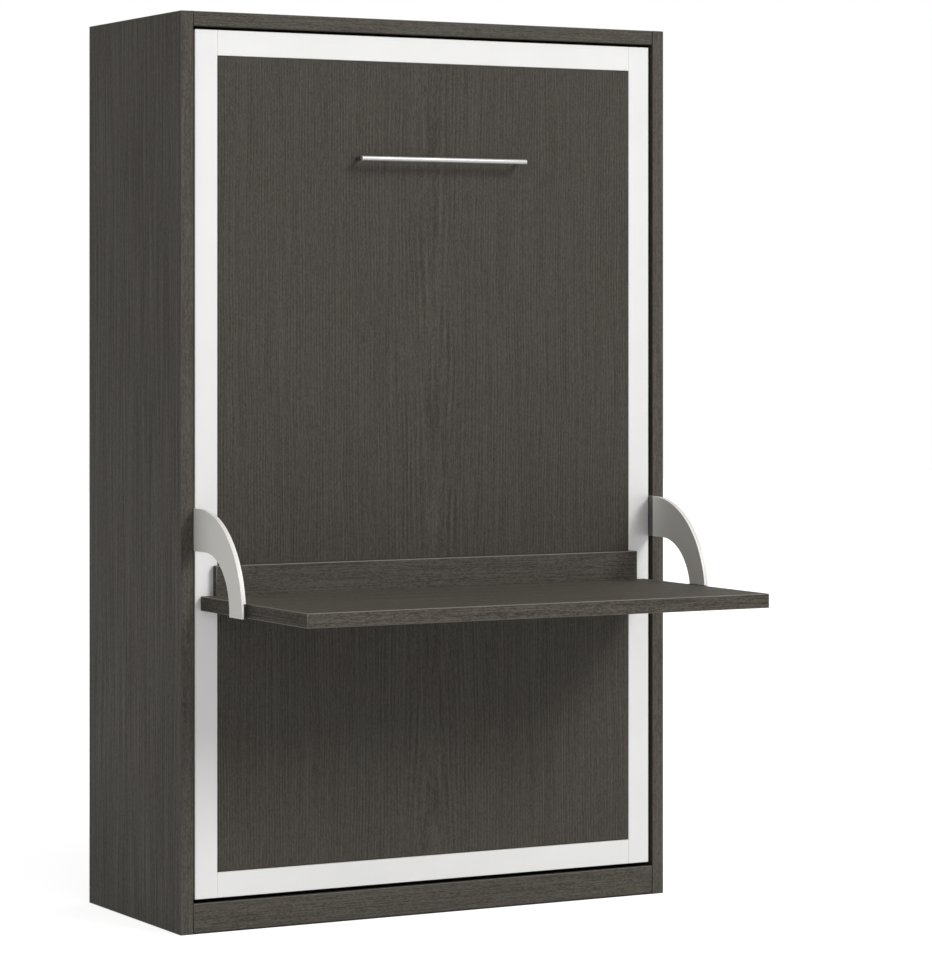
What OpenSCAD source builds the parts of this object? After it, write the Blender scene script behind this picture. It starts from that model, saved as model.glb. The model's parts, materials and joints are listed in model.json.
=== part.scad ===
// Wall bed with a fold down desk.
// X runs to the right, Y from the front to the wall, Z up.
// The origin is on the floor at mid-width, in the plane of the cabinet's front edges.

/* [Cabinet] */
// Overall width of the cabinet
cabinet_w = 1322; // [1322:1:1330]
// Overall height of the cabinet
cabinet_h = 2160; // [2158:1:2175]
// Depth of the cabinet, front edges to wall
cabinet_d = 550; // [545:5:600]
// Thickness of the side panels
side_t = 33; // [30:1:33]
// Thickness of the top panel
top_t = 35; // [30:1:36]
// Height of the plinth's top edge
plinth_top = 71; // [60:1:71]
// Thickness of the plinth and of the rear rails
rail_t = 18; // [15:1:18]

/* [Bed front] */
// Setback of the bed front behind the cabinet's front edges
face_setback = 7; // [6:0.5:8]
// Gap at each side of the bed front
side_gap = 6.6; // [6.6:0.1:8]
// Gap above the bed front
top_gap = 7; // [7:1:10]
// Gap below the bed front
bottom_gap = 9; // [9:1:12]
// Width of the white border
border_w = 58; // [50:1:65]
// Thickness of the border boards
face_t = 18; // [18:1:18]

/* [Bed] */
// Height of the bed's side rails, front to back when it stands upright
bed_rail_h = 140; // [130:5:145]
// Thickness of the bed's side rails
bed_rail_t = 15; // [15:1:15]
// Thickness of the mattress
mattress_t = 180; // [160:5:180]
// Number of slats
slat_count = 14; // [10:1:16]

/* [Desk] */
// Height of the desk's top surface
desk_top_z = 790; // [785:1:795]
// Thickness of the desk top
desk_t = 34; // [28:1:36]
// Width of the desk top
desk_w = 1216; // [1200:2:1216]
// How far the desk's front edge stands out from the cabinet's front
desk_reach = 562; // [520:2:570]
// Height of the upstand above the desk top
upstand_h = 71; // [50:1:80]
// Width of the upstand
upstand_w = 1152; // [1100:2:1160]

/* [Arms] */
// Radius of the arm's outer edge
arm_outer_r = 236; // [230:1:236]
// Radius of the arm's inner edge
arm_inner_r = 131; // [125:1:135]
// Thickness of the steel plate that passes through the side gap
arm_plate_t = 5; // [4:0.5:5]

/* [Handle] */
// Length of the bar
handle_length = 452; // [300:2:500]
// Diameter of the bar
handle_d = 12; // [10:1:14]
// Height of the bar above the floor
handle_z = 1823; // [1700:1:1850]
// Distance from the bed front to the bar's axis
handle_stand = 35; // [30:1:40]
// How far the bar sits to the right of mid-width
handle_shift = 24; // [0:1:40]

/* [Hidden] */
$fn = 64;

wood = "#4b4742";
white = "#efefec";
steel = "#b9bbbd";
dark_metal = "#3a3a3b";
rubber = "#1f1f1f";

// Chamfer on the visible board edges
edge = 1.2;
// Chamfer on small parts
fine_edge = 0.6;
// Radial clearance of a pin that turns in a bore
running = 0.05;

// Cabinet planes
half_w = cabinet_w / 2;
inner_x = half_w - side_t;
top_z = cabinet_h - top_t;
plinth_lift = 3;
rear_rail_h = 120;
back_t = 8;
back_y = cabinet_d - rail_t + 5;

// Bed front, whose top and bottom border boards are a little wider than the others
face_y = face_setback;
border_rail_w = border_w + 2;
face_back = face_y + face_t;
face_x = inner_x - side_gap;
face_z0 = plinth_top + bottom_gap;
face_z1 = top_z - top_gap;
panel_recess = 1;
panel_gap = 0.8;

// Bed frame, behind the front
bed_x = 612;
bed_in_x = bed_x - bed_rail_t;
bed_z0 = face_z0 + 14;
bed_z1 = face_z1 - 8;
bed_back = face_back + bed_rail_h;
bearer_y = face_back + 1;
bearer_t = 20;
batten_y = bearer_y + bearer_t;
batten_t = 18;
slat_y = batten_y + batten_t + 2;
slat_t = 8;
slat_w = 53;
mattress_y = slat_y + slat_t + 6;
mattress_x = bed_in_x - 3;
mattress_z0 = bed_z0 + bed_rail_t + 2;
mattress_z1 = bed_z1 - bed_rail_t - 2;

// Pivots, as [y, z]
bed_pivot = [130, 405];
arm_pivot = [50, 1050];
// The levelling link's pivots lie this far from the bed's and the arm's
link_offset = [45, 56];
leg_pivot = [100, 1900];
strut_top = [430, 890];
strut_low = [190, 230];

link_low = bed_pivot + link_offset;
link_high = arm_pivot + link_offset;
link_length = norm(link_high - link_low);
link_tilt = atan2(link_low[0] - link_high[0], link_high[1] - link_low[1]);
strut_length = norm(strut_top - strut_low);
strut_tilt = atan2(strut_top[0] - strut_low[0], strut_top[1] - strut_low[1]);

// Layers across the side gap, measured from mid-width
link_x = bed_x + 1;
link_t = 3;
arm_x1 = inner_x - 0.7;
arm_x = arm_x1 - arm_plate_t;
cheek_x = 616.4;
pivot_plate_t = 4;
pivot_plate_x = inner_x - pivot_plate_t;
strut_x = 617.5;

// Desk and arms
desk_x = desk_w / 2;
desk_z = desk_top_z - desk_t;
desk_rear = 5;
upstand_t = 19;
arm_centre = [-28, 760.5];
arm_inner_centre = [-65, 766];
arm_root_low = 897;
arm_front = arm_centre[0] - arm_outer_r;
arm_leg_back = arm_inner_centre[0] - arm_inner_r;
cheek_back = -21;
end_block_inset = 14;
bolt_y = [-237, -210];
bolt_r = 4;

// Pins
axle_r = 8;
bush_r = 13;
arm_stud_r = 7;
link_pin_r = 4;
leg_stud_r = 6;
strut_stud_r = 5;

// ---------- helpers ----------

// A box from one corner to the opposite one
module block(low, high) {
    translate(low) cube(high - low);
}

// Outline of a rectangle with chamfered corners
function chamfered(a, b, c) = [
    [c, 0], [a - c, 0], [a, c], [a, b - c], [a - c, b], [c, b], [0, b - c], [0, c]
];

// A board from one corner to the opposite one, with all its edges chamfered
module board(low, high, c = edge) {
    size = high - low;
    translate(low) intersection() {
        linear_extrude(size[2]) polygon(chamfered(size[0], size[1], c));
        translate([0, size[1], 0]) rotate([90, 0, 0]) linear_extrude(size[1])
            polygon(chamfered(size[0], size[2], c));
        rotate([90, 0, 90]) linear_extrude(size[0]) polygon(chamfered(size[1], size[2], c));
    }
}

// A round bar along X, at a place given as [y, z]
module bar_x(x0, x1, r, place) {
    translate([x0, place[0], place[1]]) rotate([0, 90, 0]) cylinder(h = x1 - x0, r = r);
}

// A plate of an outline in the YZ plane, from x0 to x1
module plate_yz(x0, x1, outline) {
    translate([x0, 0, 0]) rotate([90, 0, 90]) linear_extrude(x1 - x0) polygon(outline);
}

// Draws its children on the right as they are, and on the left as their mirror image
module on_side(side) {
    if (side == "right") children();
    else mirror([1, 0, 0]) children();
}

module both_sides() {
    children();
    mirror([1, 0, 0]) children();
}

// Places its children's origin at a [y, z] pivot
module at_pivot(place) {
    translate([0, place[0], place[1]]) children();
}

// ---------- cabinet ----------

module side_panel(side) {
    color(wood) on_side(side) board([inner_x, 0, 0], [half_w, cabinet_d, cabinet_h]);
}

module top_panel() {
    color(wood) board([-inner_x, 0, top_z], [inner_x, cabinet_d, cabinet_h]);
}

module plinth() {
    color(wood) board([-inner_x, 0, plinth_lift], [inner_x, rail_t, plinth_top]);
}

module back_panel() {
    color(wood) block([-inner_x, back_y, plinth_lift + rear_rail_h],
                      [inner_x, back_y + back_t, top_z - rear_rail_h]);
}

// Screw holes that hold a rear rail to the wall
wall_hole_r = 4;
wall_hole_x = 500;

module wall_rail(z) {
    color(wood) difference() {
        block([-inner_x, cabinet_d - rail_t, z], [inner_x, cabinet_d, z + rear_rail_h]);
        for (x = [-wall_hole_x, wall_hole_x])
            translate([x, cabinet_d + 1, z + rear_rail_h / 2]) rotate([90, 0, 0])
                cylinder(h = rail_t + 2, r = wall_hole_r);
    }
}

module rear_top_rail() {
    wall_rail(top_z - rear_rail_h);
}

module rear_base_rail() {
    wall_rail(plinth_lift);
}

// Steel angles that hold the top panel to the side panels
bracket_leg = 40;
bracket_t = 2.5;
bracket_w = 30;
bracket_y = [300, 470];

module corner_brackets() {
    color(steel) both_sides() for (y = bracket_y) {
        block([inner_x - bracket_t, y, top_z - bracket_leg], [inner_x, y + bracket_w, top_z]);
        block([inner_x - bracket_leg, y, top_z - bracket_t],
              [inner_x - bracket_t, y + bracket_w, top_z]);
    }
}

// Round screw heads on the angles
screw_head_r = 4;
screw_head_t = 2;

module bracket_screws() {
    middle = bracket_leg * 0.6;
    color(steel) both_sides() for (y = bracket_y) {
        bar_x(inner_x - bracket_t - screw_head_t, inner_x - bracket_t, screw_head_r,
              [y + bracket_w / 2, top_z - middle]);
        translate([inner_x - middle, y + bracket_w / 2, top_z - bracket_t - screw_head_t])
            cylinder(h = screw_head_t, r = screw_head_r);
    }
}

// Steel plate that carries the bed's axle and the lower pivot of the levelling link
plate_low = [98, 365];
plate_high = [212, 505];

module pivot_plate(side) {
    color(dark_metal) on_side(side)
        board([pivot_plate_x, plate_low[0], plate_low[1]],
              [inner_x, plate_high[0], plate_high[1]], fine_edge);
}

module plate_screws() {
    inset = 12;
    places = [
        [plate_low[0] + inset, plate_low[1] + inset],
        [plate_high[0] - inset, plate_low[1] + inset],
        [plate_low[0] + inset, plate_high[1] - inset],
        [plate_high[0] - inset, plate_high[1] - inset]
    ];
    color(steel) both_sides() for (place = places)
        bar_x(pivot_plate_x - screw_head_t, pivot_plate_x, screw_head_r, place);
}

module bed_axle(side) {
    collar_r = 14;
    collar_end = bed_x + 0.5;
    color(steel) on_side(side) {
        bar_x(bed_in_x + 3, pivot_plate_x, axle_r, bed_pivot);
        bar_x(collar_end, pivot_plate_x, collar_r, bed_pivot);
    }
}

module link_studs() {
    shoulder = link_x + link_t + 0.5;
    color(steel) both_sides() {
        bar_x(link_x - 0.5, pivot_plate_x, link_pin_r, link_low);
        bar_x(shoulder, pivot_plate_x, link_pin_r + 3, link_low);
    }
}

strut_eye_t = 8;
strut_eye_r = 11;

module strut_studs() {
    flange_r = 20;
    flange_t = 4;
    color(steel) both_sides() {
        bar_x(inner_x - flange_t, inner_x, flange_r, strut_top);
        bar_x(strut_x - strut_eye_t / 2 - 1, inner_x - flange_t, strut_stud_r, strut_top);
    }
}

// Rubber blocks under the top panel that the bed's foot board closes against
module closing_stops() {
    stop_x = 300;
    stop_w = 40;
    stop_h = 22;
    stop_y = bed_back + 0.5;
    color(rubber) both_sides()
        board([stop_x, stop_y, top_z - stop_h], [stop_x + stop_w, stop_y + stop_h, top_z], fine_edge);
}

// ---------- bed front ----------

module face_stile(side) {
    color(white) on_side(side)
        board([face_x - border_w, face_y, face_z0], [face_x, face_back, face_z1]);
}

module face_rail(z) {
    x = face_x - border_w;
    color(white) board([-x, face_y, z], [x, face_back, z + border_rail_w]);
}

module face_rail_top() {
    face_rail(face_z1 - border_rail_w);
}

module face_rail_bottom() {
    face_rail(face_z0);
}

module face_panel() {
    x = face_x - border_w - panel_gap;
    z_in = border_rail_w + panel_gap;
    color(wood) board([-x, face_y + panel_recess, face_z0 + z_in],
                      [x, face_back, face_z1 - z_in]);
}

module handle_bar() {
    y = face_y - handle_stand;
    half = handle_length / 2;
    color(steel) bar_x(handle_shift - half, handle_shift + half, handle_d / 2, [y, handle_z]);
}

module handle_posts() {
    post_r = 4.5;
    inset = 7;
    reach = handle_length / 2 - inset;
    bar_back = face_y - handle_stand + handle_d / 2;
    color(steel) for (x = [handle_shift - reach, handle_shift + reach]) difference() {
        translate([x, face_y + panel_recess, handle_z]) rotate([90, 0, 0])
            cylinder(h = face_y + panel_recess - bar_back + 2, r = post_r);
        handle_bar();
    }
}

// ---------- bed frame ----------

// Steel hinge plate in the rail's outer face, with a tail down to the strut's lower eye
hinge_plate_t = 4;
hinge_half = 34;
hinge_reach = 60;
tail_top = 30;
tail_half = 18;
hinge_outline = [
    [bed_pivot[0] - hinge_half, bed_pivot[1] - hinge_reach],
    [strut_low[0] - tail_half, strut_low[1] - tail_half],
    [strut_low[0] + tail_half, strut_low[1] - tail_half],
    [strut_low[0] + tail_half, strut_low[1] + tail_half],
    [bed_pivot[0] + hinge_half, bed_pivot[1] - tail_top],
    [bed_pivot[0] + hinge_half, bed_pivot[1] + hinge_reach],
    [bed_pivot[0] - hinge_half, bed_pivot[1] + hinge_reach]
];

module hinge_plate(side) {
    color(dark_metal) on_side(side) difference() {
        plate_yz(bed_x - hinge_plate_t, bed_x, hinge_outline);
        bar_x(bed_in_x, bed_x + 1, bush_r, bed_pivot);
    }
}

module bed_rail(side) {
    color(white) on_side(side) difference() {
        board([bed_in_x, face_back, bed_z0], [bed_x, bed_back, bed_z1], fine_edge);
        plate_yz(bed_x - hinge_plate_t, bed_x + 1, hinge_outline);
        bar_x(bed_in_x - 1, bed_x + 1, bush_r, bed_pivot);
    }
}

module axle_bushes() {
    color("#d8d6cf") both_sides() difference() {
        bar_x(bed_in_x, bed_x, bush_r, bed_pivot);
        bar_x(bed_in_x - 1, bed_x + 1, axle_r + running, bed_pivot);
    }
}

module end_board(z) {
    color(white) board([-bed_in_x, face_back, z], [bed_in_x, bed_back, z + bed_rail_t],
                       fine_edge);
}

module head_board() {
    end_board(bed_z0);
}

module foot_board() {
    end_board(bed_z1 - bed_rail_t);
}

// Steel tubes across the frame, behind the bed front
bearer_first = 560;
bearer_step = 540;

module cross_bearers() {
    bearer_h = 40;
    wall = 2;
    heights = [for (i = [0 : 2]) bearer_first + i * bearer_step];
    color(dark_metal) for (z = heights) difference() {
        block([-bed_in_x, bearer_y, z], [bed_in_x, bearer_y + bearer_t, z + bearer_h]);
        block([-bed_in_x - 1, bearer_y + wall, z + wall],
              [bed_in_x + 1, bearer_y + bearer_t - wall, z + bearer_h - wall]);
    }
}

batten_w = 22;

module slat_battens() {
    color("#c9a878") both_sides()
        block([bed_in_x - batten_w, batten_y, bed_z0 + bed_rail_t],
              [bed_in_x, batten_y + batten_t, bed_z1 - bed_rail_t]);
}

slat_margin = 60;
slat_first = mattress_z0 + slat_margin;
slat_step = (mattress_z1 - mattress_z0 - 2 * slat_margin) / (slat_count - 1);
function slat_z(i) = slat_first + i * slat_step;
holder_w = slat_w + 10;
holder_l = 40;
slat_x = bed_in_x - 8;

module slats() {
    color("#d9bd8f") for (i = [0 : slat_count - 1])
        block([-slat_x, slat_y, slat_z(i) - slat_w / 2],
              [slat_x, slat_y + slat_t, slat_z(i) + slat_w / 2]);
}

// Plastic caps on the battens that hold the slat ends
module slat_holders() {
    cap_x = bed_in_x - 1;
    color(rubber) both_sides() for (i = [0 : slat_count - 1]) difference() {
        block([cap_x - holder_l, batten_y + batten_t, slat_z(i) - holder_w / 2],
              [cap_x, slat_y + slat_t + 2, slat_z(i) + holder_w / 2]);
        block([cap_x - holder_l - 1, slat_y, slat_z(i) - slat_w / 2],
              [slat_x, slat_y + slat_t, slat_z(i) + slat_w / 2]);
    }
}

// ---------- mattress ----------

// Cells of the quilted surface across and along the mattress
quilt_x = 14;
quilt_z = 26;
// Depth of a stitched channel and of the drawn-in border
channel = 4;
shoulder_in = 20;
// Rows of points round the side, from the back face to the front face
side_rows = 4;
side_pull = 5;

// How far a grid point lies below the crown: in a channel, near the rim or on it
function stitched(i, j) = (i % 2 == 0 ? channel : 0) + (j % 2 == 0 ? channel : 0);
function on_rim(i, j) = i == 0 || i == quilt_x || j == 0 || j == quilt_z;
function near_rim(i, j) = i == 1 || i == quilt_x - 1 || j == 1 || j == quilt_z - 1;
function quilt_drop(i, j) =
    on_rim(i, j) ? shoulder_in : stitched(i, j) + (near_rim(i, j) ? channel : 0);
function quilt_point(i, j, side) = [
    mattress_x * (2 * i / quilt_x - 1),
    mattress_y + mattress_t / 2 + side * (mattress_t / 2 - quilt_drop(i, j)),
    mattress_z0 + (mattress_z1 - mattress_z0) * j / quilt_z
];
face_points = (quilt_x + 1) * (quilt_z + 1);
function quilt_index(i, j, back) = j * (quilt_x + 1) + i + (back ? face_points : 0);

// The rim's grid points in order, seen from the front
rim = concat(
    [for (i = [0 : quilt_x - 1]) [i, 0]],
    [for (j = [0 : quilt_z - 1]) [quilt_x, j]],
    [for (i = [0 : quilt_x - 1]) [quilt_x - i, quilt_z]],
    [for (j = [0 : quilt_z - 1]) [0, quilt_z - j]]
);
rim_count = len(rim);

// A point on the mattress's side, drawn in between the two piped edges
function side_point(k, row) =
    let (
        front = quilt_point(rim[k][0], rim[k][1], -1),
        share = row / side_rows,
        pull = side_pull * sin(180 * share),
        x_in = rim[k][0] == 0 ? pull : rim[k][0] == quilt_x ? -pull : 0,
        z_in = rim[k][1] == 0 ? pull : rim[k][1] == quilt_z ? -pull : 0
    )
    front + [x_in, (mattress_t - 2 * shoulder_in) * share, z_in];

function rim_index(k, back) = quilt_index(rim[k % rim_count][0], rim[k % rim_count][1], back);
function side_index(k, row) =
    row == 0 ? rim_index(k, false)
    : row == side_rows ? rim_index(k, true)
    : 2 * face_points + (row - 1) * rim_count + k % rim_count;

module mattress() {
    front = [for (j = [0 : quilt_z]) for (i = [0 : quilt_x]) quilt_point(i, j, -1)];
    back = [for (j = [0 : quilt_z]) for (i = [0 : quilt_x]) quilt_point(i, j, 1)];
    sides = [for (row = [1 : side_rows - 1]) for (k = [0 : rim_count - 1]) side_point(k, row)];
    front_faces = [for (j = [0 : quilt_z - 1]) for (i = [0 : quilt_x - 1]) each [
        [quilt_index(i, j, false), quilt_index(i, j + 1, false), quilt_index(i + 1, j + 1, false)],
        [quilt_index(i, j, false), quilt_index(i + 1, j + 1, false), quilt_index(i + 1, j, false)]
    ]];
    back_faces = [for (j = [0 : quilt_z - 1]) for (i = [0 : quilt_x - 1]) each [
        [quilt_index(i, j, true), quilt_index(i + 1, j + 1, true), quilt_index(i, j + 1, true)],
        [quilt_index(i, j, true), quilt_index(i + 1, j, true), quilt_index(i + 1, j + 1, true)]
    ]];
    side_faces = [for (row = [0 : side_rows - 1]) for (k = [0 : rim_count - 1]) each [
        [side_index(k, row), side_index(k + 1, row), side_index(k + 1, row + 1)],
        [side_index(k, row), side_index(k + 1, row + 1), side_index(k, row + 1)]
    ]];
    color("#f3f1ea") polyhedron(points = concat(front, back, sides),
                                faces = concat(front_faces, back_faces, side_faces));
}

// Webbing straps that hold the mattress while the bed stands upright
strap_heights = [700, 1500];
strap_lap = 25;

module mattress_straps() {
    strap_w = 40;
    strap_t = 1.6;
    strap_x = bed_in_x - 0.6;
    strap_back = mattress_y + mattress_t + 3;
    color("#55585c") for (z = strap_heights) difference() {
        block([-strap_x, bed_back - strap_lap, z], [strap_x, strap_back, z + strap_w]);
        block([-strap_x + strap_t, bed_back - strap_lap - 1, z - 1],
              [strap_x - strap_t, strap_back - strap_t, z + strap_w + 1]);
    }
}

// ---------- pivots on the bed ----------

module arm_studs() {
    boss_r = 15;
    color(steel) both_sides() {
        bar_x(bed_x, arm_x - 0.1, boss_r, arm_pivot);
        bar_x(bed_x, arm_x1 - 0.2, arm_stud_r, arm_pivot);
    }
}

module leg_studs() {
    boss_r = 14;
    color(steel) both_sides() {
        bar_x(bed_x, arm_x - 0.1, boss_r, leg_pivot);
        bar_x(bed_x, arm_x1 - 0.2, leg_stud_r, leg_pivot);
    }
}

// ---------- desk ----------

module desk_bolt_holes(x0, x1) {
    for (y = bolt_y)
        bar_x(x0, x1, bolt_r, [y, desk_z + desk_t / 2]);
}

desk_bolt_x = [desk_x - 45, arm_x1 - 1.2];

// The desk board, with a notch in its rear edge that the upstand stands in
module desk_top() {
    color(wood) difference() {
        board([-desk_x, -desk_reach, desk_z], [desk_x, desk_rear, desk_top_z]);
        block([-upstand_w / 2, desk_rear - upstand_t, desk_z - 1],
              [upstand_w / 2, desk_rear + 1, desk_top_z + 1]);
        both_sides() desk_bolt_holes(desk_bolt_x[0], desk_x + 1);
    }
}

module desk_upstand() {
    x = upstand_w / 2;
    color(wood) board([-x, desk_rear - upstand_t, desk_z], [x, desk_rear, desk_top_z + upstand_h]);
}

// Dark blocks that stand between the desk's ends and the arms' plates, a little behind
// the plates' front edges
module desk_end_blocks() {
    color(wood) both_sides() difference() {
        board([desk_x, arm_front + end_block_inset, desk_z], [arm_x, arm_leg_back, desk_top_z],
              fine_edge);
        desk_bolt_holes(desk_x - 1, arm_x + 1);
    }
}

module desk_bolts() {
    color(steel) both_sides() desk_bolt_holes(desk_bolt_x[0], desk_bolt_x[1]);
}

// The visible crescent: an outer disc less an inner one, from a height up to the root
module crescent(x0, x1, low, back) {
    start = max(low, arm_centre[1]);
    root_top = arm_centre[1] + arm_outer_r;
    difference() {
        union() {
            intersection() {
                bar_x(x0, x1, arm_outer_r, arm_centre);
                block([x0, arm_front, start], [x1, arm_centre[0], root_top]);
            }
            block([x0, arm_centre[0], start], [x1, back, root_top]);
            if (low < start) block([x0, arm_front, low], [x1, arm_leg_back, start]);
        }
        bar_x(x0 - 1, x1 + 1, arm_inner_r, arm_inner_centre);
        block([x0 - 1, arm_inner_centre[0], low - 1], [x1 + 1, back + 1, arm_root_low]);
        block([x0 - 1, arm_leg_back, low - 1], [x1 + 1, back + 1, arm_inner_centre[1]]);
    }
}

// Ends of the arm's plate round its pivots
hub_r = 28;
tail_r = 14;

// Outline of the band that is tangent to two circles given as a centre [y, z] and a radius
function band(a, r_a, b, r_b) =
    let (
        along = (b - a) / norm(b - a),
        lean = (r_a - r_b) / norm(b - a),
        side = sqrt(1 - lean * lean),
        left = [along[0] * lean - along[1] * side, along[1] * lean + along[0] * side],
        right = [along[0] * lean + along[1] * side, along[1] * lean - along[0] * side]
    )
    [a + r_a * left, a + r_a * right, b + r_b * right, b + r_b * left];

// Steel plate with the crescent, its neck behind the bed front and the pivots
module arm_plate(side) {
    root_back = 60;
    root_top = arm_centre[1] + arm_outer_r;
    neck_front = arm_pivot[0] - hub_r;
    neck_back = arm_pivot[0] + hub_r;
    neck_low = root_top - 30;
    color(white) on_side(side) difference() {
        union() {
            crescent(arm_x, arm_x1, desk_z, root_back);
            plate_yz(arm_x, arm_x1, [
                [neck_front, neck_low], [root_back, arm_root_low], [neck_back, neck_low],
                [neck_back, arm_pivot[1]], [neck_front, arm_pivot[1]]
            ]);
            plate_yz(arm_x, arm_x1, band(arm_pivot, hub_r, link_high, tail_r));
            bar_x(arm_x, arm_x1, hub_r, arm_pivot);
            bar_x(arm_x, arm_x1, tail_r, link_high);
        }
        bar_x(arm_x - 1, arm_x1 + 1, arm_stud_r + running, arm_pivot);
        desk_bolt_holes(arm_x - 1, desk_bolt_x[1]);
    }
}

// White crescent facing on the plate's inner side. It stops short of the bed front, where
// the plate alone goes into the side gap.
module arm_cheek(side) {
    color(white) on_side(side) crescent(cheek_x, arm_x, desk_top_z, cheek_back);
}

module link_pins() {
    color(steel) both_sides() {
        bar_x(link_x - 0.5, arm_x, link_pin_r, link_high);
        bar_x(link_x + link_t + 0.5, arm_x, link_pin_r + 3, link_high);
    }
}

// ---------- linkages ----------

// Flat bar from the cabinet's plate up to the arm's tail, parallel to the line of the main pivots
module levelling_link(side) {
    half = 9;
    open_clearance = 0.5;
    color(dark_metal) on_side(side) difference() {
        at_pivot(link_low) rotate([link_tilt, 0, 0]) union() {
            block([link_x, -half, 0], [link_x + link_t, half, link_length]);
            bar_x(link_x, link_x + link_t, half, [0, 0]);
            bar_x(link_x, link_x + link_t, half, [0, link_length]);
        }
        bar_x(link_x - 1, link_x + link_t + 1, link_pin_r + running, link_low);
        bar_x(link_x - 1, link_x + link_t + 1, link_pin_r + open_clearance, link_high);
    }
}

// Legs hang from the bed's foot end in the side gap and stay upright
leg_w = 40;
leg_foot_h = 10;
leg_drop = bed_pivot[1] - bed_pivot[0] + leg_pivot[0] - 1;

module leg(side) {
    y = leg_pivot[0];
    color(dark_metal) on_side(side) difference() {
        union() {
            block([arm_x, y - leg_w / 2, leg_pivot[1] - leg_drop + leg_foot_h],
                  [arm_x1, y + leg_w / 2, leg_pivot[1]]);
            bar_x(arm_x, arm_x1, leg_w / 2, leg_pivot);
        }
        bar_x(arm_x - 1, arm_x1 + 1, leg_stud_r + running, leg_pivot);
    }
}

module leg_foot(side) {
    y = leg_pivot[0];
    color(rubber) on_side(side)
        board([arm_x, y - leg_w / 2, leg_pivot[1] - leg_drop],
              [arm_x1, y + leg_w / 2, leg_pivot[1] - leg_drop + leg_foot_h], fine_edge);
}

// ---------- gas struts ----------

strut_body_r = 10;
strut_bore_r = 8.5;
strut_rod_r = 5;
strut_body_end = 345;
piston_at = 317;
piston_t = 12;

// Places its children's origin at the strut's upper eye, with -Z towards its lower eye
module along_strut() {
    translate([strut_x, strut_top[0], strut_top[1]]) rotate([-strut_tilt, 0, 0]) children();
}

module eye(r_bore) {
    difference() {
        bar_x(-strut_eye_t / 2, strut_eye_t / 2, strut_eye_r, [0, 0]);
        bar_x(-strut_eye_t, strut_eye_t, r_bore, [0, 0]);
    }
}

// The cylinder hangs from its eye by a short neck, and the rod comes out of its lower cap
module strut_cylinder(side) {
    neck_start = 9;
    body_start = 24;
    bore_start = 34;
    cap = 12;
    color(dark_metal) on_side(side) along_strut() {
        eye(strut_stud_r + running);
        difference() {
            union() {
                translate([0, 0, -strut_body_end])
                    cylinder(h = strut_body_end - body_start, r = strut_body_r);
                translate([0, 0, -body_start - 1])
                    cylinder(h = body_start + 1 - neck_start, r = strut_rod_r);
            }
            translate([0, 0, -strut_body_end + cap])
                cylinder(h = strut_body_end - cap - bore_start, r = strut_bore_r);
            translate([0, 0, -strut_body_end - 1]) cylinder(h = cap + 2, r = strut_rod_r + running);
        }
    }
}

module strut_rod(side) {
    stud_end = bed_x + 0.5 - strut_x;
    color(steel) on_side(side) along_strut() {
        translate([0, 0, -strut_length + 10])
            cylinder(h = strut_length - 10 - piston_at, r = strut_rod_r);
        translate([0, 0, -piston_at]) cylinder(h = piston_t, r = strut_bore_r - running * 2);
        translate([0, 0, -strut_length]) {
            bar_x(-strut_eye_t / 2, strut_eye_t / 2, strut_eye_r, [0, 0]);
            bar_x(stud_end, strut_eye_t / 2 + 2, strut_stud_r, [0, 0]);
        }
    }
}

// ---------- nodes ----------

side_panel("left");  // side_panel_left
side_panel("right");  // side_panel_right
top_panel();
plinth();
back_panel();
rear_top_rail();
rear_base_rail();
corner_brackets();
bracket_screws();
pivot_plate("left");  // pivot_plate_left
pivot_plate("right");  // pivot_plate_right
plate_screws();
bed_axle("left");  // bed_axle_left
bed_axle("right");  // bed_axle_right
link_studs();
strut_studs();
closing_stops();
face_stile("left");  // face_stile_left
face_stile("right");  // face_stile_right
face_rail_top();
face_rail_bottom();
face_panel();
bed_rail("left");  // bed_rail_left
bed_rail("right");  // bed_rail_right
head_board();
foot_board();
cross_bearers();
slat_battens();
slats();
slat_holders();
mattress();
mattress_straps();
handle_bar();
handle_posts();
hinge_plate("left");  // hinge_plate_left
hinge_plate("right");  // hinge_plate_right
axle_bushes();
arm_studs();
leg_studs();
desk_top();
desk_upstand();
arm_plate("left");  // arm_plate_left
arm_plate("right");  // arm_plate_right
arm_cheek("left");  // arm_cheek_left
arm_cheek("right");  // arm_cheek_right
desk_end_blocks();
desk_bolts();
link_pins();
levelling_link("left");  // levelling_link_left
levelling_link("right");  // levelling_link_right
leg("left");  // leg_left
leg("right");  // leg_right
leg_foot("left");  // leg_foot_left
leg_foot("right");  // leg_foot_right
strut_cylinder("left");  // strut_cylinder_left
strut_cylinder("right");  // strut_cylinder_right
strut_rod("left");  // strut_rod_left
strut_rod("right");  // strut_rod_right
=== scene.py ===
"""Looks of a wall bed with a fold down desk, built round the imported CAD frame.

Lengths are in metres, in the CAD's own axes: X to the right, Y from the front to the wall, Z up.
"""

import json
import math

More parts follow.
